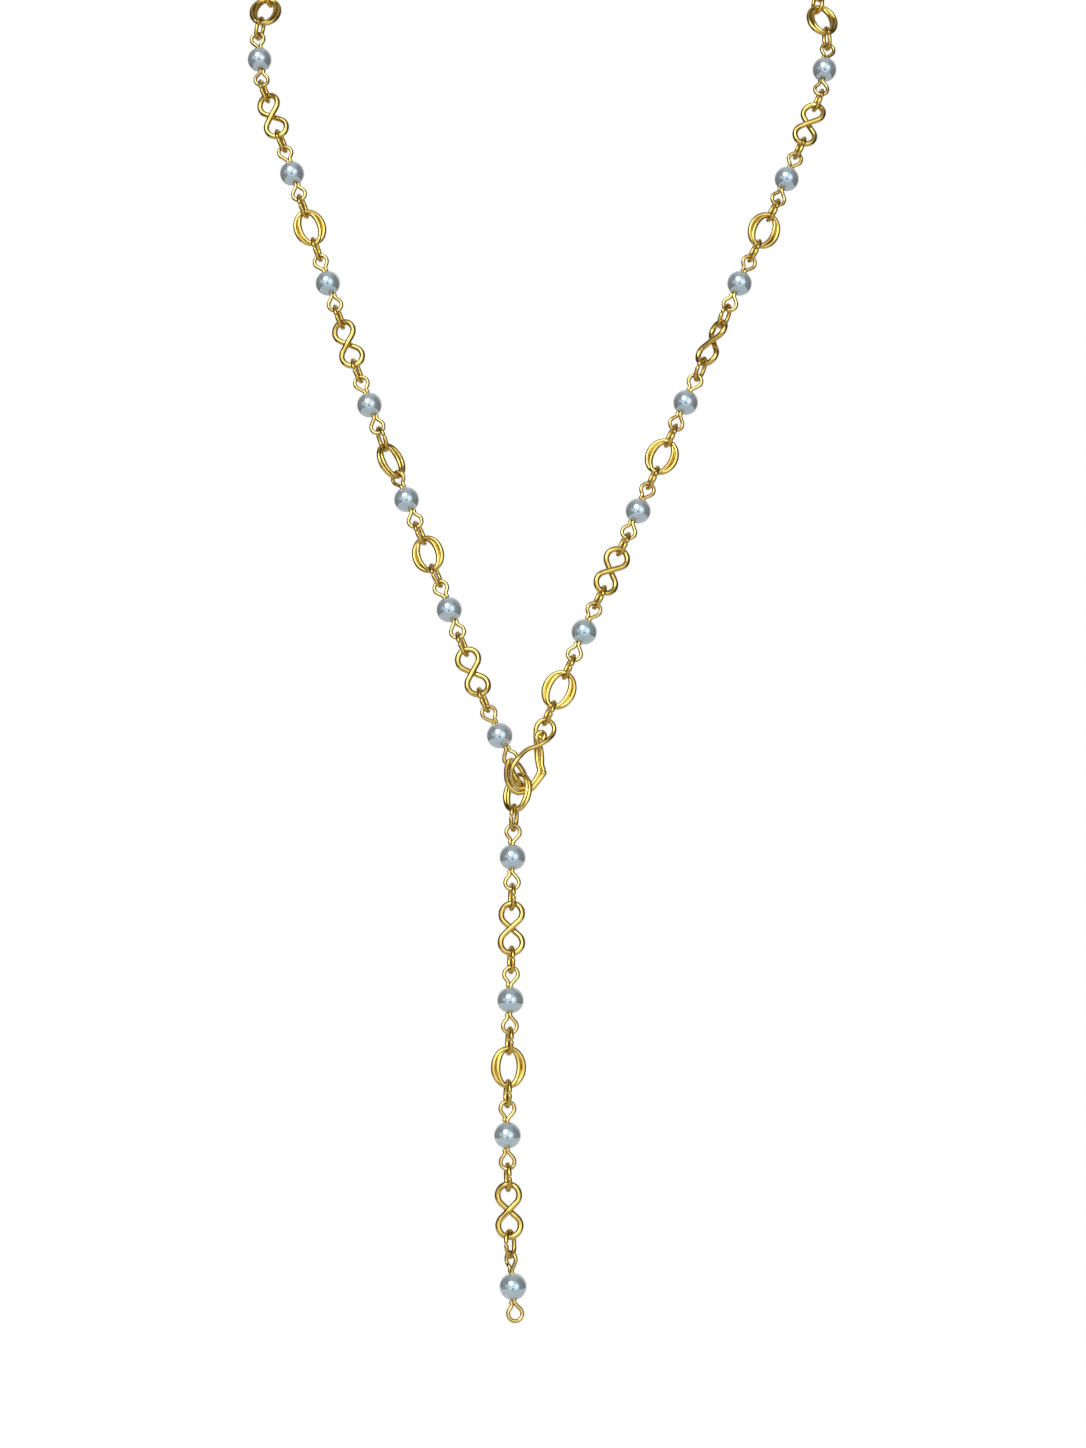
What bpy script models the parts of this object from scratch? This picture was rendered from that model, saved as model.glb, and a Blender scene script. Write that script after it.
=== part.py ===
"""Long necklace: round pearls on pins with an eye at both ends, joined by figure-eight and double oval links.

The hook at the end of the right strand takes hold of the tail ring, which also runs through the clasp ring at
the end of the left strand. The tail hangs from the tail ring.
Metres, +Z up. The origin is the middle of the link at the nape, and the front of the necklace faces -Y.
"""

import math
from collections import namedtuple

import bmesh
import bpy
from mathutils import Vector

MM = 0.001

# Driving dimensions, in millimetres. Lengths and widths of wire pieces are outer ones.
PEARL_DIAMETER = 6.0
PEARL_HOLE_PLAY = 0.12
EYE_LENGTH = 4.82
EYE_WIDTH = 3.85
EYE_WIRE = 0.82
EYE_STANDOFF = 0.1
JUMP_LENGTH = 6.4
JUMP_WIDTH = 4.3
JUMP_WIRE = 0.9
EIGHT_LENGTH = 12.74
EIGHT_WIDTH = 6.2
EIGHT_WIRE = 1.32
EIGHT_ROUNDEST = 0.46
OVAL_LENGTH = 9.42
OVAL_WIDTH = 7.8
OVAL_WIRE = 1.06
OVAL_TURNS_APART = 0.96
OVAL_ENDS_APART = 0.3
CLASP_RING_LENGTH = 7.64
CLASP_RING_WIDTH = 7.5
TAIL_RING_LENGTH = 9.34
TAIL_RING_WIDTH = 7.5
END_RING_WIRE = 0.98
END_RING_TURNS_APART = 0.74
END_RING_ENDS_APART = 0.05
HOOK_REACH = 15.5
HOOK_BEYOND_FOOT = 0.31
HOOK_AHEAD = 1.0
HOOK_WIDTH = 7.0
HOOK_WIRE = 0.95
HOOK_EYE_LENGTH = 6.1
HOOK_EYE_WIDTH = 5.3
HOOK_EYE_ASIDE = 0.3
HOOK_COLLAR = 2.5
HOOK_KNOB = 1.8

# Fits: how deep fused wires bite into each other, and how far separate pieces stay apart
BITE = 0.14
JOINT_PLAY = 0.2
CROSSING_PLAY = 0.06

# Corners closer than this are joined after fusing, and facets flatter than this angle are one facet
WELD = 0.0002
FLAT_ANGLE = 0.1

# Number of sides of the round forms
BEAD_SIDES = 10
WIRE_SIDES = 5
RING_SIDES = 10
EYE_ARC_SIDES = 5
EIGHT_ARC_SIDES = 5

# The string's route in millimetres from the nape: up the left strand from the foot of the clasp ring, round
# the back of the neck and down the right strand to the hook's eye. The hidden points are drawn in or out from
# their foot until the chain's real length ends at the hook.
LOOP_ROUTE = [
    (-4.3, -99.0, -215.3), (-7.05, -98.5, -210.4), (-10.5, -97.9, -204.3), (-22.1, -88.5, -174.5),
    (-32.4, -78.4, -148.2), (-41.8, -72.5, -124.9), (-52.4, -64.8, -94.2), (-61.7, -58.1, -66.0),
    (-71.6, -48.4, -35.7), (-74.0, -41.5, -20.0), (-71.5, -29.0, -8.5), (-59.0, -14.0, -2.5),
    (-33.0, -3.5, -0.3), (0.0, 0.0, 0.0), (33.0, -3.5, -0.3), (59.0, -14.0, -2.5),
    (71.5, -29.0, -8.5), (74.0, -41.5, -20.0), (71.1, -49.2, -37.6), (60.2, -60.4, -67.0),
    (48.0, -68.1, -93.9), (34.4, -74.5, -124.0), (22.7, -83.2, -150.8), (9.7, -93.0, -179.8),
    (0.6, -97.5, -201.0),
]
# The tail's route down from the top of its ring, in the same millimetres
TAIL_ROUTE = [
    (-5.2, -100.2, -214.0), (-6.5, -102.4, -220.9), (-7.0, -105.0, -232.3), (-7.3, -114.3, -264.3),
    (-8.0, -121.6, -293.9), (-6.7, -128.2, -327.1), (-4.5, -131.0, -341.8),
]
ROUTE_STEPS = 24
FRONT_DEPTH = 46.0
HIDDEN_POINTS = slice(9, 18)
HIDDEN_FOOT = (0.0, -46.0, -36.0)

# One row for each link round the loop, with the pearl before it. All turns are in degrees about the string, from
# lying flat to the front: those of the pearl's two eyes, of the jump rings before and after the link (None
# where the eye takes hold of the link itself), and of the link
Link = namedtuple("Link", "near_eye far_eye kind ring_before ring_after turn")
LOOP_LINKS = [
    Link(-12, 8, "eight", 74, 70, 6),
    Link(5, -8, "oval", 64, 66, -14),
    Link(6, -28, "oval", None, 116, 46),
    Link(-10, 6, "eight", 70, 74, -8),
    Link(8, -6, "oval", 78, 72, 8),
    Link(-6, 10, "eight", 68, 72, -10),
    Link(6, -8, "oval", 74, 74, 8),
    Link(-8, 8, "eight", 74, 74, -6),
    Link(6, -6, "oval", 74, 74, 10),
    Link(-6, 6, "eight", 74, 74, 0),
    Link(6, -8, "oval", 74, 74, -10),
    Link(-8, 6, "eight", 74, 74, 6),
    Link(8, -6, "oval", 72, 74, -8),
    Link(-6, 8, "eight", 76, 72, 8),
    Link(6, -8, "oval", 70, 72, -8),
    Link(-14, 10, "eight", 118, 114, 50),
    Link(8, -10, "oval", 74, 76, 10),
    Link(-6, 6, "eight", 70, 72, -6),
    Link(-8, 8, "oval", 76, 74, 8),
]
TAIL_RING = Link(0, 0, "tail ring", None, 108, 33.5)
TAIL_LINKS = [
    Link(-6, 6, "eight", 74, 72, 6),
    Link(8, -6, "oval", 70, 70, -8),
    Link(-8, 8, "eight", 74, 74, 4),
]
LAST_PEARL_EYES = (48, -10)
NAPE_LINK = 9
CLASP_RING_TURN = 76.0

# The hook's body, a wire bent double. One row for each bend of the inner and of the outer strand, in shares of
# HOOK_WIDTH across, of its reach beyond the eye along, and in wires towards the front
Bend = namedtuple("Bend", "across along front")
HOOK_INNER = [
    Bend(0.022, 0.083, -0.06), Bend(0.149, 0.318, 0.03), Bend(0.234, 0.490, 0.24), Bend(0.341, 0.623, 0.53),
    Bend(0.296, 0.849, 0.61), Bend(0.162, 1.003, 0.83), Bend(-0.056, 1.128, 1.12), Bend(-0.335, 1.102, 1.68),
    Bend(-0.560, 0.960, 2.38), Bend(-0.643, 0.806, 2.90), Bend(-0.621, 0.662, 3.09), Bend(-0.552, 0.516, 3.01),
    Bend(-0.453, 0.361, 2.77), Bend(-0.287, 0.235, 2.30), Bend(-0.057, 0.092, 1.70),
]
HOOK_OUTER = [
    Bend(0.116, 0.064, 0.17), Bend(0.265, 0.294, 0.26), Bend(0.357, 0.465, 0.46), Bend(0.498, 0.637, 0.64),
    Bend(0.408, 0.859, 0.65), Bend(0.293, 1.050, 0.65), Bend(0.081, 1.185, 0.66), Bend(-0.168, 1.248, 0.72),
    Bend(-0.429, 1.197, 0.93), Bend(-0.631, 1.058, 1.24), Bend(-0.772, 0.812, 1.71), Bend(-0.806, 0.657, 1.93),
    Bend(-0.749, 0.561, 2.00), Bend(-0.640, 0.466, 2.04), Bend(-0.508, 0.380, 2.14),
]
HOOK_KNOB_ROW = 3
HOOK_COLLAR_SHARES = (0.02, 0.051)


def make_material(name, colour, roughness, metallic):
    """A plain Principled material."""
    made = bpy.data.materials.new(name)
    made.use_nodes = True
    shader = made.node_tree.nodes["Principled BSDF"]
    shader.inputs["Base Color"].default_value = (*colour, 1.0)
    shader.inputs["Roughness"].default_value = roughness
    shader.inputs["Metallic"].default_value = metallic
    made.diffuse_color = (*colour, 1.0)
    return made


def smooth_route(points):
    """Fine points of a smooth curve through the route's own points."""
    knots = [Vector(p) for p in points]
    knots = [2 * knots[0] - knots[1], *knots, 2 * knots[-1] - knots[-2]]
    fine = []
    for before, start, end, after in zip(knots, knots[1:], knots[2:], knots[3:]):
        for step in range(ROUTE_STEPS):
            t = step / ROUTE_STEPS
            fine.append(0.5 * (2 * start + (end - before) * t
                               + (2 * before - 5 * start + 4 * end - after) * t * t
                               + (3 * start - before - 3 * end + after) * t ** 3))
    fine.append(knots[-2].copy())
    return fine


def walk(route, lengths):
    """Joints along the route, one piece's length apart; past its end the route runs straight on."""
    joints = [route[0].copy()]
    index = 1
    for length in lengths:
        here = joints[-1]
        while index < len(route) and (route[index] - here).length < length:
            index += 1
        if index < len(route):
            start, end = route[index - 1], route[index]
        else:
            start = route[-1]
            end = start + (route[-1] - route[-2]).normalized() * (2 * length + (here - start).length)
        run = end - start
        offset = start - here
        b = offset.dot(run)
        c = offset.length_squared - length * length
        share = (-b + math.sqrt(max(b * b - run.length_squared * c, 0.0))) / run.length_squared
        joints.append(start + run * share)
    return joints


def inner_length(kind):
    """Length between a piece's two bearing faces."""
    return {
        "pin": PEARL_DIAMETER + 2 * (EYE_LENGTH - EYE_WIRE),
        "jump": JUMP_LENGTH - 2 * JUMP_WIRE,
        "eight": EIGHT_LENGTH - 2 * EIGHT_WIRE,
        "oval": OVAL_LENGTH - 2 * OVAL_WIRE,
        "clasp ring": CLASP_RING_LENGTH - 2 * END_RING_WIRE,
        "tail ring": TAIL_RING_LENGTH - 2 * END_RING_WIRE,
    }[kind]


# A piece of the string: the node it belongs to, its kind, its turns at its two ends, and its two joints
Piece = namedtuple("Piece", "node kind turn far_turn start end")


def loop_kinds():
    """Node, kind and turns of each piece from the clasp ring up, round the nape and down to the hook."""
    kinds = [("clasp_ring", "clasp ring", CLASP_RING_TURN, CLASP_RING_TURN)]
    for number, link in enumerate(LOOP_LINKS):
        near = "chain_left" if number <= NAPE_LINK else "chain_right"
        far = "chain_left" if number < NAPE_LINK else "chain_right"
        kinds.append((near, "pin", link.near_eye, link.far_eye))
        if link.ring_before is not None:
            kinds.append((near, "jump", link.ring_before, link.ring_before))
        kinds.append((near, link.kind, link.turn, link.turn))
        if link.ring_after is not None:
            kinds.append((far, "jump", link.ring_after, link.ring_after))
    return kinds


def tail_kinds():
    """Node, kind and turns of each piece from the tail ring down to the last pearl's pin."""
    kinds = [("tail_ring", "tail ring", TAIL_RING.turn, TAIL_RING.turn),
             ("chain_tail", "jump", TAIL_RING.ring_after, TAIL_RING.ring_after)]
    for link in TAIL_LINKS:
        kinds.append(("chain_tail", "pin", link.near_eye, link.far_eye))
        kinds.append(("chain_tail", "jump", link.ring_before, link.ring_before))
        kinds.append(("chain_tail", link.kind, link.turn, link.turn))
        kinds.append(("chain_tail", "jump", link.ring_after, link.ring_after))
    kinds.append(("chain_tail", "pin", *LAST_PEARL_EYES))
    return kinds


def strung(kinds, joints):
    """Pieces between their joints: fused neighbours bite into each other, the others keep their play.

    The first ring lies against the clasp's other rings off its end, so it is as long as its joints say there.
    """
    pieces = []
    for index, (node, kind, turn, far_turn) in enumerate(kinds):
        start, end = joints[index], joints[index + 1]
        along = (end - start).normalized()
        fused_before = index > 0 and kinds[index - 1][0] == node
        fused_after = index + 1 < len(kinds) and kinds[index + 1][0] == node
        if index > 0:
            start = start + along * (BITE if fused_before else -JOINT_PLAY) / 2
        end = end - along * (BITE if fused_after else -JOINT_PLAY) / 2
        pieces.append(Piece(node, kind, turn, far_turn, start, end))
    return pieces


def laid_out():
    """Pieces of the loop, pieces of the tail, and the hook's two bearing points."""
    kinds = loop_kinds()
    lengths = [inner_length(kind[1]) for kind in kinds]
    points = [Vector(point) for point in LOOP_ROUTE]
    points[-1] = points[0] + (points[-1] - points[0]).normalized() * (HOOK_REACH - HOOK_BEYOND_FOOT)
    hidden_foot = Vector(HIDDEN_FOOT)
    low, high = 0.7, 1.3
    while high - low > 1e-7:
        scale = (low + high) / 2
        drawn = list(points)
        drawn[HIDDEN_POINTS] = [hidden_foot + (point - hidden_foot) * scale for point in points[HIDDEN_POINTS]]
        joints = walk(smooth_route(drawn), lengths)
        too_long = (joints[-1] - points[-1]).dot(points[-1] - points[-2]) < 0
        low, high = (low, scale) if too_long else (scale, high)
    nape = [index for index, kind in enumerate(kinds) if kind[1] in ("eight", "oval")][NAPE_LINK]
    shift = (joints[nape] + joints[nape + 1]) / 2
    tail_joints = walk(smooth_route(TAIL_ROUTE), [inner_length(kind[1]) for kind in tail_kinds()])
    joints = [joint - shift for joint in joints]
    tail_joints = [joint - shift for joint in tail_joints]
    return strung(kinds, joints), strung(tail_kinds(), tail_joints), joints[-1], joints[0]


def outward_at(point):
    """Direction away from the neck: to the front below it, round the sides, and to the back at the nape."""
    share = min(max((point.y + FRONT_DEPTH) / FRONT_DEPTH, 0.0), 1.0)
    angle = math.pi * share * share * (3 - 2 * share)
    return Vector((math.copysign(math.sin(angle), point.x), -math.cos(angle), 0.0))


def turned_frame(start, end, turn):
    """Directions along a piece, across its flat side once turned about the string, and off its face."""
    along = (end - start).normalized()
    across = outward_at((start + end) / 2).cross(along).normalized()
    face = along.cross(across)
    angle = math.radians(turn)
    across = across * math.cos(angle) + face * math.sin(angle)
    return along, across, along.cross(across)


def add_tube(mesh, points, faces, closed, halves):
    """A tube along the points; a section's first corner looks to the inside of its bend.

    faces are the normals of the plane that the wire is bent in, halves its half width and depth at each point.
    """
    count = len(points)
    rings = []
    for index, point in enumerate(points):
        before = points[index - 1] if closed or index > 0 else None
        after = points[(index + 1) % count] if closed or index + 1 < count else None
        come = (point - before).normalized() if before else (after - point).normalized()
        go = (after - point).normalized() if after else come
        tangent = (come + go).normalized()
        mitre = 1.0 / tangent.dot(go)
        inward = tangent.cross(faces[index]).normalized()
        depth = inward.cross(tangent)
        half, deep = halves[index]
        sides = WIRE_SIDES if all(pair[0] == pair[1] for pair in halves) else WIRE_SIDES + 1
        rings.append([])
        for side in range(sides):
            angle = math.tau * side / sides
            corner = inward * (math.cos(angle) * half * mitre) + depth * (math.sin(angle) * deep)
            rings[-1].append(mesh.verts.new(point + corner))
    for index in range(count if closed else count - 1):
        near, far = rings[index], rings[(index + 1) % count]
        for side in range(len(near)):
            other = (side + 1) % len(near)
            mesh.faces.new((near[side], near[other], far[other], far[side]))
    if not closed:
        mesh.faces.new(rings[0])
        mesh.faces.new(rings[-1])


def eye_path(bearing, wire):
    """An eye in its own plane (along, across): from the pin round the loop and back beside the pin."""
    radius = (EYE_WIDTH - wire) / 2
    centre = bearing + wire / 2 - radius
    root = PEARL_DIAMETER / 2 + wire / 2 + EYE_STANDOFF
    opening = math.acos(radius / (centre - root))
    first = math.pi - opening
    step = 2 * first / (EYE_ARC_SIDES + 1)
    corner = radius / math.cos(step / 2)
    path = [(root, 0.0)]
    for side in range(EYE_ARC_SIDES + 1):
        angle = first - step * (side + 0.5)
        path.append((centre + corner * math.cos(angle), corner * math.sin(angle)))
    slope = math.pi / 2 - opening
    stop = wire * 1.18
    path.append((root + stop * math.cos(slope), -stop * math.sin(slope)))
    return path


def add_pin(mesh, piece):
    """The wire through a pearl, with an eye at both of its ends."""
    middle = (piece.start + piece.end) / 2
    bearing = (piece.end - piece.start).length / 2
    along, near_across, near_face = turned_frame(piece.start, piece.end, piece.turn)
    along, far_across, far_face = turned_frame(piece.start, piece.end, piece.far_turn)
    path = eye_path(bearing, EYE_WIRE)
    near = [middle - along * u + near_across * v for u, v in reversed(path)]
    far = [middle + along * u + far_across * v for u, v in path]
    faces = [near_face] * len(near) + [far_face] * len(far)
    add_tube(mesh, near + far, faces, False, [(EYE_WIRE / 2, EYE_WIRE / 2)] * len(faces))


def add_ring(mesh, piece, width, wire, sides_apart, ends_apart):
    """An oval ring between its bearing faces; two turns of wire lie apart at its sides and at its ends."""
    along, across, face = turned_frame(piece.start, piece.end, piece.turn)
    middle = (piece.start + piece.end) / 2
    half_width = (width - wire - sides_apart) / 2
    step = math.tau / RING_SIDES
    half_length = ((piece.end - piece.start).length / 2 + wire / 2) / math.cos(step / 2)
    points, halves = [], []
    for side in range(RING_SIDES):
        angle = -step * (side + 0.5)
        points.append(middle + along * (half_length * math.cos(angle)) + across * (half_width * math.sin(angle)))
        half = wire / 2 + sides_apart / 2 * abs(math.sin(angle))
        halves.append((half, wire / 2 + ends_apart / 2 * abs(math.cos(angle))))
    add_tube(mesh, points, [face] * RING_SIDES, True, halves)


def add_eight(mesh, piece):
    """A figure of eight: two round loops of one wire that crosses itself in the middle."""
    along, across, face = turned_frame(piece.start, piece.end, piece.turn)
    middle = (piece.start + piece.end) / 2
    bearing = (piece.end - piece.start).length / 2
    radius = min((EIGHT_WIDTH - EIGHT_WIRE) / 2, EIGHT_ROUNDEST * (bearing + EIGHT_WIRE / 2))
    centre = bearing + EIGHT_WIRE / 2 - radius
    opening = math.acos(radius / centre)
    step = 2 * (math.pi - opening) / (EIGHT_ARC_SIDES + 1)
    corner = radius / math.cos(step / 2)
    lift = math.sin(math.tau / WIRE_SIDES) * EIGHT_WIRE / 2 + CROSSING_PLAY / 2
    points = []
    for end in (1, -1):
        for side in range(EIGHT_ARC_SIDES + 1):
            angle = math.pi - opening - step * (side + 0.5)
            depth = lift * (2 * side / EIGHT_ARC_SIDES - 1) * end
            u = end * (centre + corner * math.cos(angle))
            v = corner * math.sin(angle)
            points.append(middle + along * u + across * v + face * depth)
    add_tube(mesh, points, [face] * len(points), True, [(EIGHT_WIRE / 2, EIGHT_WIRE / 2)] * len(points))


def add_ball(mesh, centre, pole, aside, diameter):
    """A small faceted ball."""
    other = pole.cross(aside)
    radius = diameter / 2
    rows = []
    for row in range(1, 4):
        lift = math.cos(math.pi * row / 4)
        round_about = math.sin(math.pi * row / 4)
        rows.append([mesh.verts.new(centre + radius * (pole * lift + round_about * (
            aside * math.cos(math.tau * side / 8) + other * math.sin(math.tau * side / 8)))) for side in range(8)])
    top = mesh.verts.new(centre + pole * radius)
    bottom = mesh.verts.new(centre - pole * radius)
    for side in range(8):
        other_side = (side + 1) % 8
        mesh.faces.new((top, rows[0][side], rows[0][other_side]))
        mesh.faces.new((bottom, rows[2][other_side], rows[2][side]))
        for row in range(2):
            mesh.faces.new((rows[row][side], rows[row + 1][side], rows[row + 1][other_side], rows[row][other_side]))


def add_pearl(mesh, piece):
    """A round bead with a drilled hole, in which the pin has a little play."""
    along, across, face = turned_frame(piece.start, piece.end, 0)
    centre = (piece.start + piece.end) / 2
    radius = PEARL_DIAMETER / 2
    step = math.tau / BEAD_SIDES
    swell = (1 + 1 / math.cos(step / 2)) / 2
    hole = (EYE_WIRE / 2 + PEARL_HOLE_PLAY) / math.cos(math.pi / 5)
    rows = []
    for latitude in (54, 18, -18, -54):
        angle = math.radians(latitude)
        rows.append([mesh.verts.new(centre + swell * radius * (along * math.sin(angle) + math.cos(angle) * (
            across * math.cos(step * side) + face * math.sin(step * side)))) for side in range(BEAD_SIDES)])
    rims = []
    for end in (1, -1):
        lift = end * math.sqrt(radius * radius - hole * hole)
        rims.append([mesh.verts.new(centre + along * lift + hole * (
            across * math.cos(2 * step * side) + face * math.sin(2 * step * side))) for side in range(5)])
    for upper, lower in zip(rows, rows[1:]):
        for side in range(BEAD_SIDES):
            other = (side + 1) % BEAD_SIDES
            mesh.faces.new((upper[side], lower[side], lower[other], upper[other]))
    for rim, row in ((rims[0], rows[0]), (rims[1], rows[3])):
        for side in range(5):
            first, second, third = row[2 * side], row[2 * side + 1], row[(2 * side + 2) % BEAD_SIDES]
            mesh.faces.new((first, second, rim[side]))
            mesh.faces.new((second, third, rim[(side + 1) % 5]))
            mesh.faces.new((rim[side], second, rim[(side + 1) % 5]))
    for side in range(5):
        other = (side + 1) % 5
        mesh.faces.new((rims[0][side], rims[0][other], rims[1][other], rims[1][side]))


def add_object(name, build, material):
    """An object whose mesh the build function fills in millimetres."""
    mesh = bmesh.new()
    build(mesh)
    bmesh.ops.scale(mesh, vec=(MM, MM, MM), verts=mesh.verts)
    bmesh.ops.recalc_face_normals(mesh, faces=mesh.faces)
    bmesh.ops.triangulate(mesh, faces=mesh.faces)
    data = bpy.data.meshes.new(name)
    mesh.to_mesh(data)
    mesh.free()
    data.materials.append(material)
    made = bpy.data.objects.new(name, data)
    bpy.context.scene.collection.objects.link(made)
    return made


def fuse(name, builders, material):
    """One body out of wire pieces that bite into each other."""
    made = add_object(name, builders[0], material)
    guides = bpy.data.collections.new(name + " wires")
    bpy.context.scene.collection.children.link(guides)
    for number, build in enumerate(builders[1:]):
        guide = add_object(f"{name} wire {number + 1}", build, material)
        bpy.context.scene.collection.objects.unlink(guide)
        guides.objects.link(guide)
        guide.hide_render = True
        guide.display_type = "WIRE"
    union = made.modifiers.new("fuse wires", "BOOLEAN")
    union.operation = "UNION"
    union.solver = "EXACT"
    union.operand_type = "COLLECTION"
    union.collection = guides
    fused = bpy.data.meshes.new_from_object(made.evaluated_get(bpy.context.evaluated_depsgraph_get()))
    made.modifiers.clear()
    made.data = fused
    mesh = bmesh.new()
    mesh.from_mesh(fused)
    bmesh.ops.remove_doubles(mesh, verts=mesh.verts, dist=WELD * MM)
    bmesh.ops.dissolve_limit(mesh, angle_limit=math.radians(FLAT_ANGLE), verts=mesh.verts, edges=mesh.edges)
    bmesh.ops.triangulate(mesh, faces=mesh.faces)
    mesh.to_mesh(fused)
    mesh.free()
    for guide in list(guides.objects):
        bpy.data.objects.remove(guide)
    bpy.data.collections.remove(guides)
    return made


def build_piece(mesh, piece):
    """The wire of one piece of the string."""
    if piece.kind == "pin":
        add_pin(mesh, piece)
    elif piece.kind == "jump":
        add_ring(mesh, piece, JUMP_WIDTH, JUMP_WIRE, 0.0, 0.0)
    elif piece.kind == "eight":
        add_eight(mesh, piece)
    elif piece.kind == "oval":
        add_ring(mesh, piece, OVAL_WIDTH, OVAL_WIRE, OVAL_TURNS_APART, OVAL_ENDS_APART)
    elif piece.kind == "clasp ring":
        add_ring(mesh, piece, CLASP_RING_WIDTH, END_RING_WIRE, END_RING_TURNS_APART, END_RING_ENDS_APART)
    else:
        add_ring(mesh, piece, TAIL_RING_WIDTH, END_RING_WIRE, END_RING_TURNS_APART, END_RING_ENDS_APART)


def hook_builders(top, foot):
    """Wires of the hook: its eye, its inner and outer strand, the collar below the eye and the outer knob."""
    foot = foot + Vector((0.0, -HOOK_AHEAD, 0.0))
    along, across, face = turned_frame(top, foot, 0)
    neck = HOOK_EYE_LENGTH - HOOK_WIRE

    def place(bend):
        lengthwise = neck + bend.along * (HOOK_REACH - neck)
        return top + across * (bend.across * HOOK_WIDTH) + along * lengthwise + face * (bend.front * HOOK_WIRE)

    def strand(rows):
        points = [place(bend) for bend in rows]
        return lambda mesh: add_tube(mesh, points, [face] * len(points), False,
                                     [(HOOK_WIRE / 2, HOOK_WIRE / 2)] * len(points))

    inner = HOOK_EYE_LENGTH - 2 * HOOK_WIRE
    near = top - along * JOINT_PLAY / 2 + across * HOOK_EYE_ASIDE
    eye = Piece("hook_clasp", "eye", 0, 0, near, near + along * inner)
    collar = place(Bend(*HOOK_COLLAR_SHARES, 0.6))
    knob = place(HOOK_OUTER[HOOK_KNOB_ROW])
    return [
        strand(HOOK_INNER),
        strand(HOOK_OUTER),
        lambda mesh: add_ring(mesh, eye, HOOK_EYE_WIDTH, HOOK_WIRE, 0.0, 0.0),
        lambda mesh: add_ball(mesh, collar, along, across, HOOK_COLLAR),
        lambda mesh: add_ball(mesh, knob, along, across, HOOK_KNOB),
    ]


def main():
    for old in list(bpy.data.objects):
        bpy.data.objects.remove(old, do_unlink=True)
    gold = make_material("gold", (0.80, 0.52, 0.14), 0.22, 1.0)
    pearl = make_material("pearl", (0.42, 0.46, 0.50), 0.25, 0.0)

    loop, tail, hook_top, foot = laid_out()
    for pieces, name in ((loop, "pearl_{:02d}"), (tail, "tail_pearl_{}")):
        pins = [piece for piece in pieces if piece.kind == "pin"]
        for number, piece in enumerate(pins):
            made = add_object(name.format(number + 1), lambda mesh, piece=piece: add_pearl(mesh, piece), pearl)
            made.data.shade_smooth()
    for node in ("chain_left", "chain_right", "chain_tail"):
        builders = [lambda mesh, piece=piece: build_piece(mesh, piece) for piece in loop + tail if piece.node == node]
        fuse(node, builders, gold)
    for node in ("clasp_ring", "tail_ring"):
        ring = next(piece for piece in loop + tail if piece.node == node)
        add_object(node, lambda mesh, ring=ring: build_piece(mesh, ring), gold)
    fuse("hook_clasp", hook_builders(hook_top, foot), gold)


main()
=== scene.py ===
"""Long necklace: pearls on eye pins, joined by figure-eight and double oval links of gold-coloured wire.

Each group of like pieces has an operator, and their sizes and colours are settings in the sidebar.
Metres, +Z up. The origin is the middle of the link at the nape, and the front of the necklace faces -Y.
"""

import math
from collections import namedtuple

import bmesh
import bpy
from bpy.props import FloatProperty, FloatVectorProperty, PointerProperty
from bpy.types import Operator, Panel, PropertyGroup
from mathutils import Matrix, Vector


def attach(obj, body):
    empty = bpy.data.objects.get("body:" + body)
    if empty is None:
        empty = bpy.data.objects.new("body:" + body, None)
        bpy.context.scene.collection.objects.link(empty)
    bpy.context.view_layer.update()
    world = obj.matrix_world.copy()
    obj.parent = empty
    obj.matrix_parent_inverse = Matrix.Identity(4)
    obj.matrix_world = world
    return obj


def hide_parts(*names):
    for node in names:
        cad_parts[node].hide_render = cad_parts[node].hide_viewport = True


bl_info = {
    "name": "Long Pearl Necklace",
    "version": (1, 0, 0),
    "blender": (4, 5, 0),
    "location": "3D Viewport > Sidebar > Necklace",
    "description": "Pearls, eye pins, wire links and hook clasp of a long necklace",
    "category": "Add Mesh",
}

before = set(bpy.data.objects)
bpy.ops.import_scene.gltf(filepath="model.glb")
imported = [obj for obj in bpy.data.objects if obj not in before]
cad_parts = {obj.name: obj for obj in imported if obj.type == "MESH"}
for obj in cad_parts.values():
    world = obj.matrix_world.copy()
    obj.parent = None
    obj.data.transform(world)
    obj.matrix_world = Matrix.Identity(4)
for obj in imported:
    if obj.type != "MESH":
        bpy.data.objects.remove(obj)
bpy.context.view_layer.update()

MM = 0.001

# Fits: the play at a joint of two nodes and at a joint inside a chain, and from a pearl to its pin's bend
NODE_PLAY = 0.2 * MM
CHAIN_PLAY = 0.1 * MM
EYE_STANDOFF = 0.1 * MM

# Fineness of the round forms
WIRE_SIDES = 12
EYE_BEND_STEPS = 6
EYE_ARC_STEPS = 26
RING_STEPS = 44
EIGHT_ARC_STEPS = 36
EIGHT_LEG_STEPS = 8
OVAL_STEPS = 64
HOOK_STEPS = 10
BEAD_SIDES = 48
BEAD_ROWS = 30
KNOB_SIDES = 20
KNOB_ROWS = 12

# The domed end of a cut wire: its height as a share of the wire's radius, and its rings' angles in degrees
DOME_HEIGHT = 0.55
DOME_ANGLES = (35, 65, 82)

# A pin's eye: the length over which the wire bends out of the pearl, a point on each leg as a share of its
# length, and how many wires apart the legs' middles are where the legs meet
EYE_EASE = 0.45 * MM
FIRST_LEG_POINT = 0.6
SECOND_LEG_POINT = 0.75
LEGS_APART = 1.04
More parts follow.
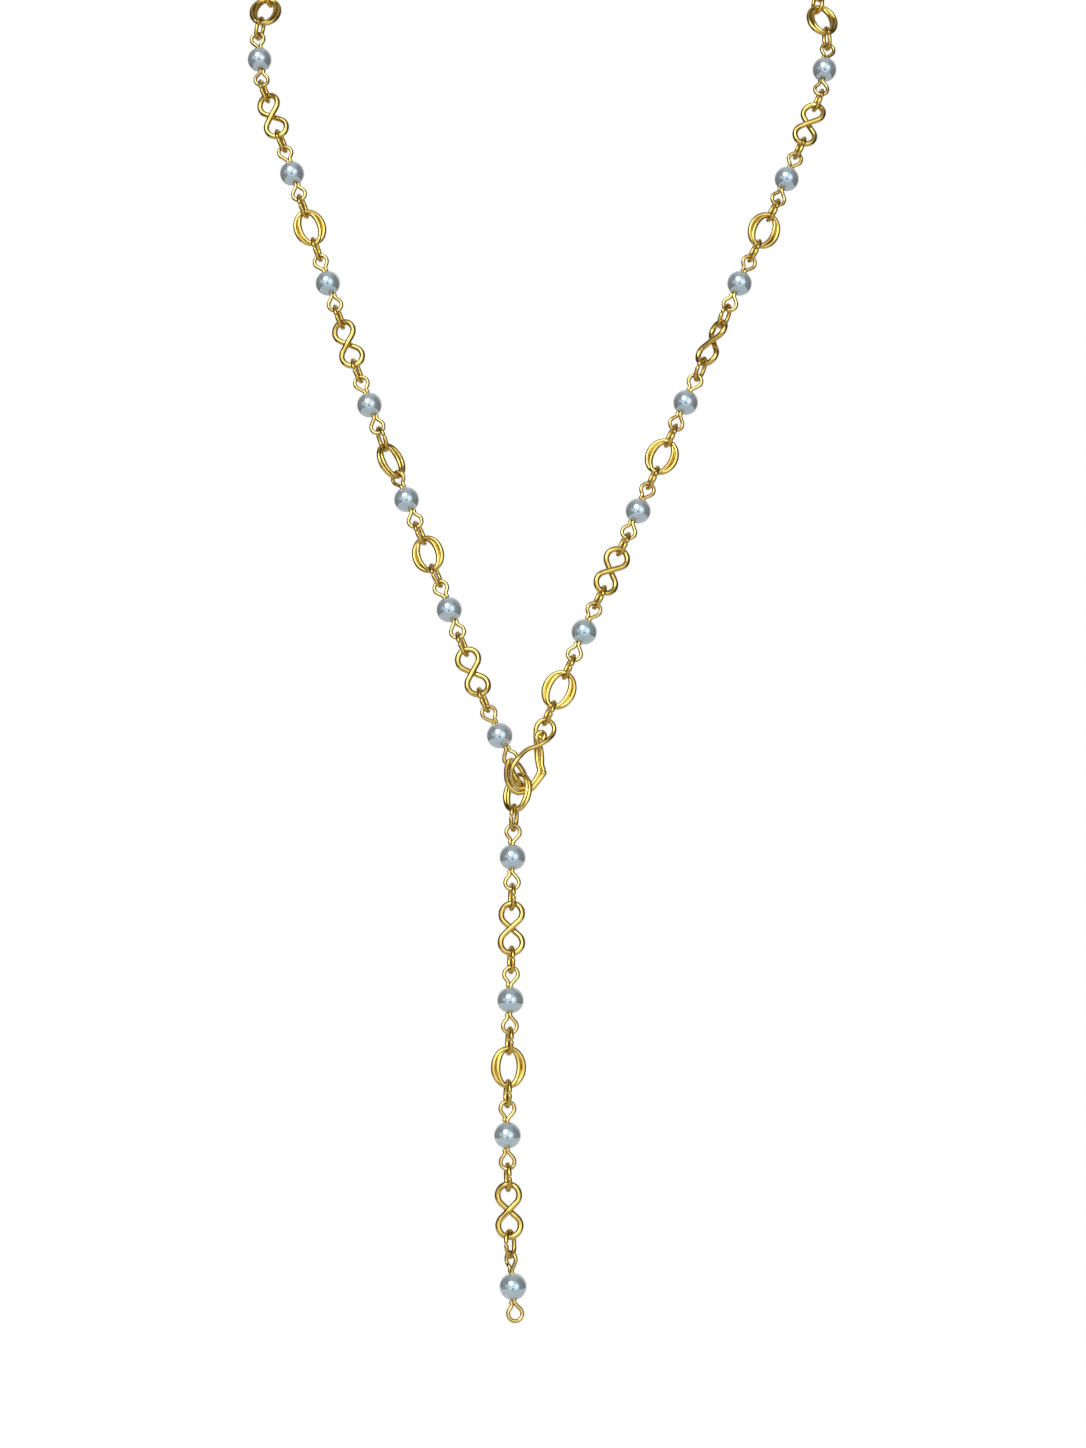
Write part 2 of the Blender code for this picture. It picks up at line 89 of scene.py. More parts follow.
# The second leg's end, bend by bend: the share of the way from the eye's root to where the legs meet, how far
# back towards the pearl in eases, and how far beside the pin's middle as a share of the legs' distance
Tuck = namedtuple("Tuck", "out back beside")
EYE_TUCKS = [Tuck(1.0, 0.1, 0.62), Tuck(0.0, 0.4, 0.72), Tuck(0.0, 0.8, 0.80)]

# A figure-eight's crossing: how far its wires are apart where the arcs begin, as a share of the middle's
EIGHT_ARC_LIFT = 0.8

# The rounded rim of a pearl's hole, and its profile from inside the hole up, in rims: how much wider than the
# hole, and how far below its mouth
HOLE_RIM = 0.10 * MM
HOLE_RIM_PROFILE = [(0.0, 4.0), (0.0, 1.0), (0.3, 0.3)]
# Each pearl is turned about its hole by so many degrees more than the last, so that their clouds differ
PEARL_TURN_STEP = 37.0

# The string's route in millimetres from the nape: up the left strand from the foot of the clasp ring, round
# the back of the neck and down the right strand to the hook's eye
LOOP_ROUTE = [
    (-4.3, -99.0, -215.3), (-7.05, -98.5, -210.4), (-10.5, -97.9, -204.3), (-22.1, -88.5, -174.5),
    (-32.4, -78.4, -148.2), (-41.8, -72.5, -124.9), (-52.4, -64.8, -94.2), (-61.7, -58.1, -66.0),
    (-71.6, -48.4, -35.7), (-74.0, -41.5, -20.0), (-71.5, -29.0, -8.5), (-59.0, -14.0, -2.5),
    (-33.0, -3.5, -0.3), (0.0, 0.0, 0.0), (33.0, -3.5, -0.3), (59.0, -14.0, -2.5),
    (71.5, -29.0, -8.5), (74.0, -41.5, -20.0), (71.1, -49.2, -37.6), (60.2, -60.4, -67.0),
    (48.0, -68.1, -93.9), (34.4, -74.5, -124.0), (22.7, -83.2, -150.8), (9.7, -93.0, -179.8),
    (0.6, -97.5, -201.0),
]
# The tail's route down from the top of its ring, in the same millimetres
TAIL_ROUTE = [
    (-5.2, -100.1, -213.75), (-6.5, -102.4, -220.9), (-7.0, -105.0, -232.3), (-7.3, -114.3, -264.3),
    (-8.0, -121.6, -293.9), (-6.7, -128.2, -327.1), (-4.5, -131.0, -341.8),
]
ROUTE_STEPS = 24
# The hidden points round the back are drawn in or out from their foot, between two scales and to a precision,
# until the string's real length ends at the hook
HIDDEN_POINTS = slice(9, 18)
HIDDEN_FOOT = (0.0, -46.0, -36.0)
HIDDEN_SCALES = (0.7, 1.3)
SCALE_PRECISION = 1e-7
# From the nape forward to where the strands lie on the front
FRONT_DEPTH = 46.0 * MM

# One row for each link round the loop, with the pearl before it. All turns are in degrees about the string,
# from lying flat to the front: those of the pearl's two eyes, of the jump rings before and after the link
# (none before it where the eye takes hold of the link itself), and of the link
Link = namedtuple("Link", "near_eye far_eye kind ring_before ring_after turn")
LOOP_LINKS = [
    Link(-12, 8, "eight", 77, 75, 6),
    Link(5, -8, "oval", 73, 74, -14),
    Link(6, -28, "oval", None, 112, 46),
    Link(-10, 6, "eight", 75, 77, -8),
    Link(8, -6, "oval", 79, 76, 8),
    Link(-6, 10, "eight", 75, 76, -10),
    Link(6, -8, "oval", 77, 100, 8),
    Link(30, -20, "eight", 77, 77, -6),
    Link(6, -6, "oval", 77, 77, 10),
    Link(-6, 6, "eight", 77, 77, 0),
    Link(6, -8, "oval", 77, 77, -10),
    Link(-8, 6, "eight", 77, 77, 6),
    Link(-25, 12, "oval", 76, 77, -8),
    Link(-6, 8, "eight", 78, 76, 8),
    Link(6, -8, "oval", 75, 76, -8),
    Link(-14, 10, "eight", 118, 114, 50),
    Link(8, -10, "oval", 77, 78, 10),
    Link(-6, 6, "eight", 75, 76, -6),
    Link(-8, 8, "oval", 78, 77, 8),
]
TAIL_LINKS = [
    Link(-6, 6, "eight", 77, 76, 6),
    Link(8, -6, "oval", 75, 75, -8),
    Link(-8, 8, "eight", 77, 116, 4),
]
# The link of the loop that lies at the nape, and the turns of the pieces that have no row of their own
NAPE_LINK = 9
CLASP_RING_TURN = 69.0
TAIL_RING_TURN = 33.5
TAIL_RING_JUMP_TURN = 108.0
LAST_PEARL_EYES = (48, -10)

# The hook's two wires, bend by bend: across in shares of the hook's width, along in shares of its reach past
# the eye, and towards the front in wires. The loop goes down from the eye's left side, round the hook, back
# across the neck in front and up the eye's right side. The strand is wrapped round the neck and follows the
# loop outside.
Bend = namedtuple("Bend", "across along front")
HOOK_LOOP = [
    Bend(-0.094, -0.004, -0.02), Bend(-0.006, 0.143, -0.04), Bend(0.110, 0.326, 0.03),
    Bend(0.229, 0.491, 0.24), Bend(0.338, 0.622, 0.50), Bend(0.296, 0.849, 0.61), Bend(0.162, 1.003, 0.83),
    Bend(-0.056, 1.128, 1.12), Bend(-0.290, 1.102, 1.68), Bend(-0.475, 0.970, 2.38),
    Bend(-0.545, 0.820, 2.90), Bend(-0.520, 0.675, 2.98), Bend(-0.455, 0.530, 2.80),
    Bend(-0.365, 0.385, 2.40), Bend(-0.245, 0.260, 2.00), Bend(-0.095, 0.173, 1.75), Bend(0.041, 0.093, 1.60),
    Bend(0.162, 0.003, 1.45), Bend(0.276, -0.104, 1.10), Bend(0.358, -0.229, 0.60), Bend(0.365, -0.361, 0.25),
    Bend(0.279, -0.466, 0.08), Bend(0.113, -0.525, 0.00), Bend(-0.071, -0.506, 0.00),
    Bend(-0.194, -0.414, 0.00), Bend(-0.224, -0.284, 0.00), Bend(-0.174, -0.142, 0.00),
]
HOOK_STRAND = [
    Bend(0.110, -0.040, 1.85), Bend(0.128, -0.150, 1.70), Bend(0.010, -0.215, 1.20),
    Bend(-0.105, -0.140, 1.25), Bend(-0.095, -0.015, 1.40), Bend(0.030, 0.053, 1.00),
    Bend(0.149, 0.137, 0.40), Bend(0.265, 0.294, 0.26),
    Bend(0.357, 0.465, 0.46), Bend(0.498, 0.637, 0.64), Bend(0.408, 0.859, 0.65), Bend(0.293, 1.050, 0.65),
    Bend(0.081, 1.185, 0.66), Bend(-0.150, 1.240, 0.72), Bend(-0.380, 1.190, 0.93), Bend(-0.590, 1.045, 1.24),
    Bend(-0.700, 0.870, 1.65), Bend(-0.735, 0.740, 1.90), Bend(-0.735, 0.640, 2.00),
]
# The strand's bend that carries the corner's knob, and the middle of the wrap, which a second knob fills
HOOK_KNOB_ROW = 9
HOOK_WRAP_MIDDLE = Bend(0.010, -0.085, 1.45)

# How much each channel of a gold falls in its deeper tint, which makes it redder
DEEPER_TINT = (0.5, 1.0, 1.5)

# The camera: where it stands, its lens and sensor in millimetres, and how near and far it sees
CAMERA_AT = (-1.48 * MM, -750.77 * MM, -199.44 * MM)
CAMERA_LENS = 70.0
CAMERA_SENSOR = 36.0
CAMERA_NEAR = 0.01
CAMERA_FAR = 20.0

# The floor: half its side, its level below the nape, and its grey
FLOOR_HALF = 0.7
FLOOR_LEVEL = -0.52
FLOOR_GREY = 0.9

# The light tent: its shade where nothing lights it, the fineness at which it is sampled, and round patches in
# it, by direction, with how far in degrees each reaches at full strength and in all. A patch of negative
# strength takes light away.
TENT_SHADE = (0.066, 0.049, 0.024)
TENT_MAP_SIZE = 1024
Patch = namedtuple("Patch", "direction inner outer strength")
TENT_PATCHES = [
    Patch((0.06, -1.0, 0.10), 14.0, 64.0, 1.20),
    Patch((0.0, -0.1, 1.0), 8.0, 45.0, 0.30),
    Patch((-0.30, -0.72, 0.62), 10.0, 22.0, 5.0),
    Patch((0.52, -0.83, 0.19), 8.0, 25.0, 0.7),
    Patch((-0.86, -0.50, 0.17), 6.0, 20.0, 0.5),
    Patch((0.0, -0.98, -0.19), 5.0, 13.0, -2.2),
    Patch((0.0, -0.35, -1.0), 15.0, 50.0, 0.40),
    Patch((0.1, 1.0, 0.35), 20.0, 60.0, 0.60),
]


class PearlSettings(PropertyGroup):
    """Size and colours of the pearls."""

    diameter: FloatProperty(
        name="Diameter", description="Diameter of a pearl", default=6.0 * MM, min=1.0 * MM, unit="LENGTH")
    hole_play: FloatProperty(
        name="Hole play", description="Room between the pin and the drilled hole, all round",
        default=0.12 * MM, min=0.0, unit="LENGTH")
    body: FloatVectorProperty(
        name="Body colour", description="Blue-grey of the pearl's body",
        default=(0.41, 0.57, 0.68), min=0.0, max=1.0, subtype="COLOR")
    cloud: FloatVectorProperty(
        name="Cloud colour", description="Mauve-grey that clouds the body in places",
        default=(0.46, 0.57, 0.67), min=0.0, max=1.0, subtype="COLOR")
    # Painted sheen: the paler colour that the pearl's body is mixed towards where it is seen edge-on
    painted_rim_sheen: FloatVectorProperty(
        name="Rim colour", description="Paler nacre seen edge-on",
        default=(0.84, 0.90, 0.92), min=0.0, max=1.0, subtype="COLOR")


class PinSettings(PropertyGroup):
    """Sizes and colour of the eye pins through the pearls."""

    length: FloatProperty(
        name="Eye length", description="Length of an eye beyond the pearl", default=4.94 * MM, unit="LENGTH")
    width: FloatProperty(
        name="Eye width", description="Outer width of an eye", default=4.1 * MM, unit="LENGTH")
    wire: FloatProperty(
        name="Wire", description="Diameter of the pin's wire", default=0.94 * MM, unit="LENGTH")
    colour: FloatVectorProperty(
        name="Colour", description="Pale gold of the pins",
        default=(0.63, 0.47, 0.125), min=0.0, max=1.0, subtype="COLOR")


class JumpRingSettings(PropertyGroup):
    """Sizes and colour of the jump rings between eyes and links."""

    length: FloatProperty(
        name="Length", description="Outer length of a jump ring", default=6.66 * MM, unit="LENGTH")
    width: FloatProperty(
        name="Width", description="Outer width of a jump ring", default=4.9 * MM, unit="LENGTH")
    wire: FloatProperty(
        name="Wire", description="Diameter of the ring's wire", default=1.03 * MM, unit="LENGTH")
    seam: FloatProperty(
        name="Seam", description="Width of the cut where the ring closes", default=0.05 * MM, unit="LENGTH")
    colour: FloatVectorProperty(
        name="Colour", description="Warm gold of the jump rings",
        default=(0.64, 0.43, 0.05), min=0.0, max=1.0, subtype="COLOR")


class LinkSettings(PropertyGroup):
    """Sizes and colour of the figure-eight and double oval links."""

    eight_length: FloatProperty(
        name="Eight length", description="Outer length of a figure-eight", default=12.90 * MM, unit="LENGTH")
    eight_width: FloatProperty(
        name="Eight width", description="Outer width of a figure-eight", default=6.3 * MM, unit="LENGTH")
    eight_wire: FloatProperty(
        name="Eight wire", description="Wire of a figure-eight", default=1.40 * MM, unit="LENGTH")
    oval_length: FloatProperty(
        name="Oval length", description="Outer length of a double oval", default=9.54 * MM, unit="LENGTH")
    oval_width: FloatProperty(
        name="Oval width", description="Outer width of a double oval", default=8.05 * MM, unit="LENGTH")
    oval_wire: FloatProperty(
        name="Oval wire", description="Wire of a double oval", default=1.12 * MM, unit="LENGTH")
    turns_apart: FloatProperty(
        name="Turns apart", description="From the outer to the inner turn of a double oval at its sides",
        default=1.10 * MM, unit="LENGTH")
    ends_apart: FloatProperty(
        name="Ends apart", description="From the front to the back turn of a double oval at its ends",
        default=0.3 * MM, unit="LENGTH")
    colour: FloatVectorProperty(
        name="Colour", description="Gold of the links",
        default=(0.66, 0.48, 0.085), min=0.0, max=1.0, subtype="COLOR")


class ClaspSettings(PropertyGroup):
    """Sizes of the hook, the clasp ring and the tail ring."""

    clasp_ring_length: FloatProperty(
        name="Clasp ring length", description="Outer length of the clasp ring",
        default=7.84 * MM, unit="LENGTH")
    clasp_ring_width: FloatProperty(
        name="Clasp ring width", description="Outer width of the clasp ring", default=7.5 * MM, unit="LENGTH")
    tail_ring_length: FloatProperty(
        name="Tail ring length", description="Outer length of the tail ring",
        default=9.79 * MM, unit="LENGTH")
    tail_ring_width: FloatProperty(
        name="Tail ring width", description="Outer width of the tail ring", default=7.6 * MM, unit="LENGTH")
    ring_wire: FloatProperty(
        name="Ring wire", description="Wire of the clasp ring and tail ring",
        default=1.08 * MM, unit="LENGTH")
    turns_apart: FloatProperty(
        name="Turns apart", description="From the outer to the inner turn at the rings' sides",
        default=0.84 * MM, unit="LENGTH")
    ends_apart: FloatProperty(
        name="Ends apart", description="From the front to the back turn at the rings' ends",
        default=0.05 * MM, unit="LENGTH")
    hook_reach: FloatProperty(
        name="Hook reach", description="From the top of the hook's eye to the level of its bend",
        default=15.5 * MM, unit="LENGTH")
    hook_ahead: FloatProperty(
        name="Hook ahead", description="How far the hook's foot stands in front of the clasp ring's",
        default=1.0 * MM, unit="LENGTH")
    hook_width: FloatProperty(
        name="Hook width", description="Width that the hook's bends are shares of",
        default=7.0 * MM, unit="LENGTH")
    hook_wire: FloatProperty(
        name="Hook wire", description="Wire of the hook", default=1.12 * MM, unit="LENGTH")
    eye_length: FloatProperty(
        name="Hook eye length", description="Outer length of the hook's eye", default=6.1 * MM, unit="LENGTH")
    knob: FloatProperty(
        name="Knob", description="Diameter of the knobs at the hook's corner and in its wrap",
        default=1.45 * MM, unit="LENGTH")


class StageSettings(PropertyGroup):
    """Strength of the studio light and brightness of the background."""

    backdrop: FloatProperty(
        name="Backdrop", description="Brightness of the white background", default=1.0, min=0.0)
    tent: FloatProperty(
        name="Tent", description="Strength of the soft light from all round", default=1.0, min=0.0)


class NecklaceSettings(PropertyGroup):
    """All settings of the necklace."""

    pearl: PointerProperty(type=PearlSettings, name="Pearls")
    pin: PointerProperty(type=PinSettings, name="Pins")
    jump: PointerProperty(type=JumpRingSettings, name="Jump rings")
    link: PointerProperty(type=LinkSettings, name="Links")
    clasp: PointerProperty(type=ClaspSettings, name="Clasp")
    stage: PointerProperty(type=StageSettings, name="Stage")


def route_points(points):
    """A route's own points, in metres."""
    return [Vector(point) * MM for point in points]


def smooth_route(points, steps):
    """Fine points of a smooth curve through the given points."""
    knots = [2 * points[0] - points[1], *points, 2 * points[-1] - points[-2]]
    fine = []
    for before, start, end, after in zip(knots, knots[1:], knots[2:], knots[3:]):
        for step in range(steps):
            t = step / steps
            fine.append(0.5 * (2 * start + (end - before) * t
                               + (2 * before - 5 * start + 4 * end - after) * t * t
                               + (3 * start - before - 3 * end + after) * t ** 3))
    fine.append(knots[-2].copy())
    return fine


def walk(route, lengths):
    """Joints along the route, one piece's length apart; past its end the route runs straight on."""
    joints = [route[0].copy()]
    index = 1
    for length in lengths:
        here = joints[-1]
        while index < len(route) and (route[index] - here).length < length:
            index += 1
        if index < len(route):
            start, end = route[index - 1], route[index]
        else:
            start = route[-1]
            end = start + (route[-1] - route[-2]).normalized() * (2 * length + (here - start).length)
        run = end - start
        offset = start - here
        b = offset.dot(run)
        c = offset.length_squared - length * length
        share = (-b + math.sqrt(max(b * b - run.length_squared * c, 0.0))) / run.length_squared
        joints.append(start + run * share)
    return joints


def inner_length(settings, kind):
    """Length between a piece's two bearing faces."""
    pin, jump, link, clasp = settings.pin, settings.jump, settings.link, settings.clasp
    return {
        "pin": settings.pearl.diameter + 2 * (pin.length - pin.wire),
        "jump": jump.length - 2 * jump.wire,
        "eight": link.eight_length - 2 * link.eight_wire,
        "oval": link.oval_length - 2 * link.oval_wire,
        "clasp ring": clasp.clasp_ring_length - 2 * clasp.ring_wire,
        "tail ring": clasp.tail_ring_length - 2 * clasp.ring_wire,
    }[kind]


# A piece before it has a place: its node, its kind and its turns at its two ends. Then a piece of the string
# between its two joints. Then the whole string, with the joints that bear the hook.
Item = namedtuple("Item", "node kind turn far_turn")
Piece = namedtuple("Piece", "node kind turn far_turn start end")
Layout = namedtuple("Layout", "loop tail hook_top hook_foot")


def evenly_turned(node, kind, turn):
    """A piece with the same turn at both ends."""
    return Item(node, kind, turn, turn)


def link_items(link, near, far):
    """A link with the pearl's pin and the jump ring before it, in the near node, and the ring after it."""
    items = [Item(near, "pin", link.near_eye, link.far_eye)]
    if link.ring_before is not None:
        items.append(evenly_turned(near, "jump", link.ring_before))
    items.append(evenly_turned(near, link.kind, link.turn))
    items.append(evenly_turned(far, "jump", link.ring_after))
    return items


def loop_items():
    """The pieces in order from the clasp ring up, round the nape and down to the hook."""
    items = [evenly_turned("clasp_ring", "clasp ring", CLASP_RING_TURN)]
    for number, link in enumerate(LOOP_LINKS):
        near = "chain_left" if number <= NAPE_LINK else "chain_right"
        far = "chain_left" if number < NAPE_LINK else "chain_right"
        items += link_items(link, near, far)
    return items


def tail_items():
    """The pieces in order from the tail ring down to the last pearl's pin."""
    items = [evenly_turned("tail_ring", "tail ring", TAIL_RING_TURN),
             evenly_turned("chain_tail", "jump", TAIL_RING_JUMP_TURN)]
    for link in TAIL_LINKS:
        items += link_items(link, "chain_tail", "chain_tail")
    items.append(Item("chain_tail", "pin", *LAST_PEARL_EYES))
    return items


def strung(items, joints):
    """The pieces between their joints, each with half of a joint's play beyond it.

    The first one, an end ring, hangs with its first end in the clasp and not in another piece of the string,
    so it has no play there.
    """
    pieces = []
    for index, item in enumerate(items):
        start, end = joints[index], joints[index + 1]
        along = (end - start).normalized()
        chain_before = index > 0 and items[index - 1].node == item.node
        chain_after = index + 1 < len(items) and items[index + 1].node == item.node
        if index > 0:
            start = start - along * (CHAIN_PLAY if chain_before else NODE_PLAY) / 2
        end = end + along * (CHAIN_PLAY if chain_after else NODE_PLAY) / 2
        pieces.append(Piece(*item, start, end))
    return pieces


def inner_lengths(settings, items):
    """Inner length of each item."""
    return [inner_length(settings, item.kind) for item in items]


def laid_out(settings):
    """The loop and the tail, piece by piece, in the frame whose origin is the middle of the nape's link."""
    items = loop_items()
    lengths = inner_lengths(settings, items)
    points = route_points(LOOP_ROUTE)
    foot = Vector(HIDDEN_FOOT) * MM
    low, high = HIDDEN_SCALES
    while high - low > SCALE_PRECISION:
        scale = (low + high) / 2
        drawn = list(points)
        drawn[HIDDEN_POINTS] = [foot + (point - foot) * scale for point in points[HIDDEN_POINTS]]
        joints = walk(smooth_route(drawn, ROUTE_STEPS), lengths)
        too_long = (joints[-1] - points[-1]).dot(points[-1] - points[-2]) < 0
        low, high = (low, scale) if too_long else (scale, high)
    nape = [index for index, item in enumerate(items) if item.kind in ("eight", "oval")][NAPE_LINK]
    origin = (joints[nape] + joints[nape + 1]) / 2
    joints = [joint - origin for joint in joints]
    tail_route = smooth_route(route_points(TAIL_ROUTE), ROUTE_STEPS)
    tail_joints = [joint - origin for joint in walk(tail_route, inner_lengths(settings, tail_items()))]
    return Layout(strung(items, joints), strung(tail_items(), tail_joints), joints[-1], joints[0])


def outward_at(point):
    """Direction away from the neck: to the front below it, round the sides, and to the back at the nape."""
    share = min(max((point.y + FRONT_DEPTH) / FRONT_DEPTH, 0.0), 1.0)
    angle = math.pi * share * share * (3 - 2 * share)
    return Vector((math.copysign(math.sin(angle), point.x), -math.cos(angle), 0.0))


def turned_frame(start, end, turn):
    """Directions along a piece, across its flat side once turned about the string, and off its face."""
    along = (end - start).normalized()
    across = outward_at((start + end) / 2).cross(along).normalized()
    face = along.cross(across)
    angle = math.radians(turn)
    across = across * math.cos(angle) + face * math.sin(angle)
    return along, across, along.cross(across)


def add_wire(mesh, points, radius, closed=False):
    """A round wire along the points, in a frame that doesn't twist; an open wire has domed ends."""
    count = len(points)
    tangents = []
    for index in range(count):
        before = points[index - 1] if closed or index > 0 else points[index]
        after = points[(index + 1) % count] if closed or index + 1 < count else points[index]
        tangents.append((after - before).normalized())
    side = tangents[0].orthogonal().normalized()
    carried = []
    for tangent in tangents:
        side = (side - tangent * side.dot(tangent)).normalized()
        carried.append(side)
    twist = 0.0
    if closed:
        last = (side - tangents[0] * side.dot(tangents[0])).normalized()
        twist = math.atan2(last.cross(carried[0]).dot(tangents[0]), last.dot(carried[0]))
    sections = [(point, tangent, carry, radius, twist * index / count)
                for index, (point, tangent, carry) in enumerate(zip(points, tangents, carried))]
    if not closed:
        for dome in DOME_ANGLES:
            lift = radius * DOME_HEIGHT * math.sin(math.radians(dome))
            narrow = radius * math.cos(math.radians(dome))
            sections.insert(0, (points[0] - tangents[0] * lift, tangents[0], carried[0], narrow, twist))
            sections.append((points[-1] + tangents[-1] * lift, tangents[-1], carried[-1], narrow, twist))
    rings = []
    for point, tangent, carry, wide, turned in sections:
        other = tangent.cross(carry)
        rings.append([])
        for step in range(WIRE_SIDES):
            angle = math.tau * step / WIRE_SIDES + turned
            offset = carry * math.cos(angle) + other * math.sin(angle)
            rings[-1].append(mesh.verts.new(point + wide * offset))
    for index in range(len(rings) if closed else len(rings) - 1):
        near, far = rings[index], rings[(index + 1) % len(rings)]
        for step in range(WIRE_SIDES):
            other = (step + 1) % WIRE_SIDES
            mesh.faces.new((near[step], near[other], far[other], far[step]))
    if not closed:
        mesh.faces.new(tuple(reversed(rings[0])))
        mesh.faces.new(rings[-1])


def add_knob(mesh, centre, diameter):
    """A small round knob."""
    made = bmesh.ops.create_uvsphere(mesh, u_segments=KNOB_SIDES, v_segments=KNOB_ROWS, radius=diameter / 2)
    bmesh.ops.translate(mesh, vec=centre, verts=made["verts"])


def eye_path(settings, bearing):
    """An eye in its own plane (along, across): out of the pearl, round the loop and back beside the pin."""
    wire = settings.pin.wire
    radius = (settings.pin.width - wire) / 2
    centre = bearing + wire / 2 - radius
    root = settings.pearl.diameter / 2 + wire / 2 + EYE_STANDOFF
    opening = math.acos(radius / (centre - root))
    around = math.pi - opening
    slope = math.pi / 2 - opening
    leg = math.sqrt((centre - root) ** 2 - radius ** 2)

    def on_leg(distance, side):
        return root + distance * math.cos(slope), side * distance * math.sin(slope)

    path = []
    for step in range(EYE_BEND_STEPS + 1):
        share = step / EYE_BEND_STEPS
        inside = root - EYE_EASE * (1 - share)
        outside, across = on_leg(EYE_EASE * share, 1)
        path.append((inside + (outside - inside) * share, across * share))
    path.append(on_leg(leg * FIRST_LEG_POINT, 1))
    for step in range(EYE_ARC_STEPS + 1):
        angle = around - 2 * around * step / EYE_ARC_STEPS
        path.append((centre + radius * math.cos(angle), radius * math.sin(angle)))
    path.append(on_leg(leg * SECOND_LEG_POINT, -1))
    beside = wire * LEGS_APART
    meeting = beside / (2 * math.sin(slope))
    path.append(on_leg(meeting + EYE_EASE, -1))
    for tuck in EYE_TUCKS:
        along = root + tuck.out * meeting * math.cos(slope) - tuck.back * EYE_EASE
        path.append((along, -beside * tuck.beside))
    return path


def piece_place(piece):
    """Middle of a piece, and half of the length between its bearing faces."""
    return (piece.start + piece.end) / 2, (piece.end - piece.start).length / 2


def add_pin(mesh, settings, piece):
    """The wire through a pearl, with an eye at both of its ends."""
    middle, bearing = piece_place(piece)
    along, near_across = turned_frame(piece.start, piece.end, piece.turn)[:2]
    far_across = turned_frame(piece.start, piece.end, piece.far_turn)[1]
    path = eye_path(settings, bearing)
    near = [middle - along * u + near_across * v for u, v in reversed(path)]
    far = [middle + along * u + far_across * v for u, v in path]
    add_wire(mesh, near + far, settings.pin.wire / 2)


def add_jump_ring(mesh, settings, piece):
    """An oval jump ring of round wire, cut at the middle of one side, where its two ends meet."""
    jump = settings.jump
    along, across = turned_frame(piece.start, piece.end, piece.turn)[:2]
    middle, bearing = piece_place(piece)
    half_length = bearing + jump.wire / 2
    half_width = (jump.width - jump.wire) / 2
    cut = (jump.seam / 2 + DOME_HEIGHT * jump.wire / 2) / half_length
    points = []
    for step in range(RING_STEPS + 1):
        angle = math.pi / 2 + cut + (math.tau - 2 * cut) * step / RING_STEPS
        u = half_length * math.cos(angle)
        v = half_width * math.sin(angle)
        points.append(middle + along * u + across * v)
    add_wire(mesh, points, jump.wire / 2)


def add_double_oval(mesh, piece, width, wire, turns_apart, ends_apart):
    """Two turns of wire: side by side at the sides, and at the ends one in front of the other."""
    along, across, face = turned_frame(piece.start, piece.end, piece.turn)
    middle, bearing = piece_place(piece)
    half_length = bearing + wire / 2
    upward = 1 if along.z > 0 else -1
    for inset, front in ((0.0, 1), (turns_apart, -1)):
        half_width = (width - wire) / 2 - inset
        points = []
        for step in range(OVAL_STEPS):
            angle = math.tau * step / OVAL_STEPS
            u = half_length * math.cos(angle)
            v = half_width * math.sin(angle)
            depth = front * upward * ends_apart / 2 * math.cos(angle)
            points.append(middle + along * u + across * v + face * depth)
        add_wire(mesh, points, wire / 2, closed=True)


def add_oval_link(mesh, settings, piece):
    """A double oval link."""
    link = settings.link
    add_double_oval(mesh, piece, link.oval_width, link.oval_wire, link.turns_apart, link.ends_apart)


def add_end_ring(mesh, settings, piece):
    """The clasp ring or the tail ring."""
    clasp = settings.clasp
    width = clasp.clasp_ring_width if piece.kind == "clasp ring" else clasp.tail_ring_width
    add_double_oval(mesh, piece, width, clasp.ring_wire, clasp.turns_apart, clasp.ends_apart)


def add_eight(mesh, settings, piece):
    """A figure of eight: two round loops of one wire that crosses itself in the middle."""
    link = settings.link
    wire = link.eight_wire
    along, across, face = turned_frame(piece.start, piece.end, piece.turn)
    middle, bearing = piece_place(piece)
    radius = (link.eight_width - wire) / 2
    centre = bearing + wire / 2 - radius
    opening = math.acos(radius / centre)
    around = math.pi - opening
    leg = math.sqrt(centre ** 2 - radius ** 2)
    lift = wire / 2
    points = []
    for end in (1, -1):
        for step in range(EIGHT_ARC_STEPS + 1):
            angle = around - 2 * around * step / EIGHT_ARC_STEPS
            u = end * (centre + radius * math.cos(angle))
            v = radius * math.sin(angle)
            depth = -lift * math.cos(math.pi * step / EIGHT_ARC_STEPS) * EIGHT_ARC_LIFT * end
            points.append(middle + along * u + across * v + face * depth)
        for step in range(1, EIGHT_LEG_STEPS):
            share = 1 - 2 * step / EIGHT_LEG_STEPS
            u = end * leg * math.sin(opening) * share
            v = -leg * math.cos(opening) * share
            depth = lift * (1 - (1 - EIGHT_ARC_LIFT) * abs(share)) * end
            points.append(middle + along * u + across * v + face * depth)
    add_wire(mesh, points, wire / 2, closed=True)


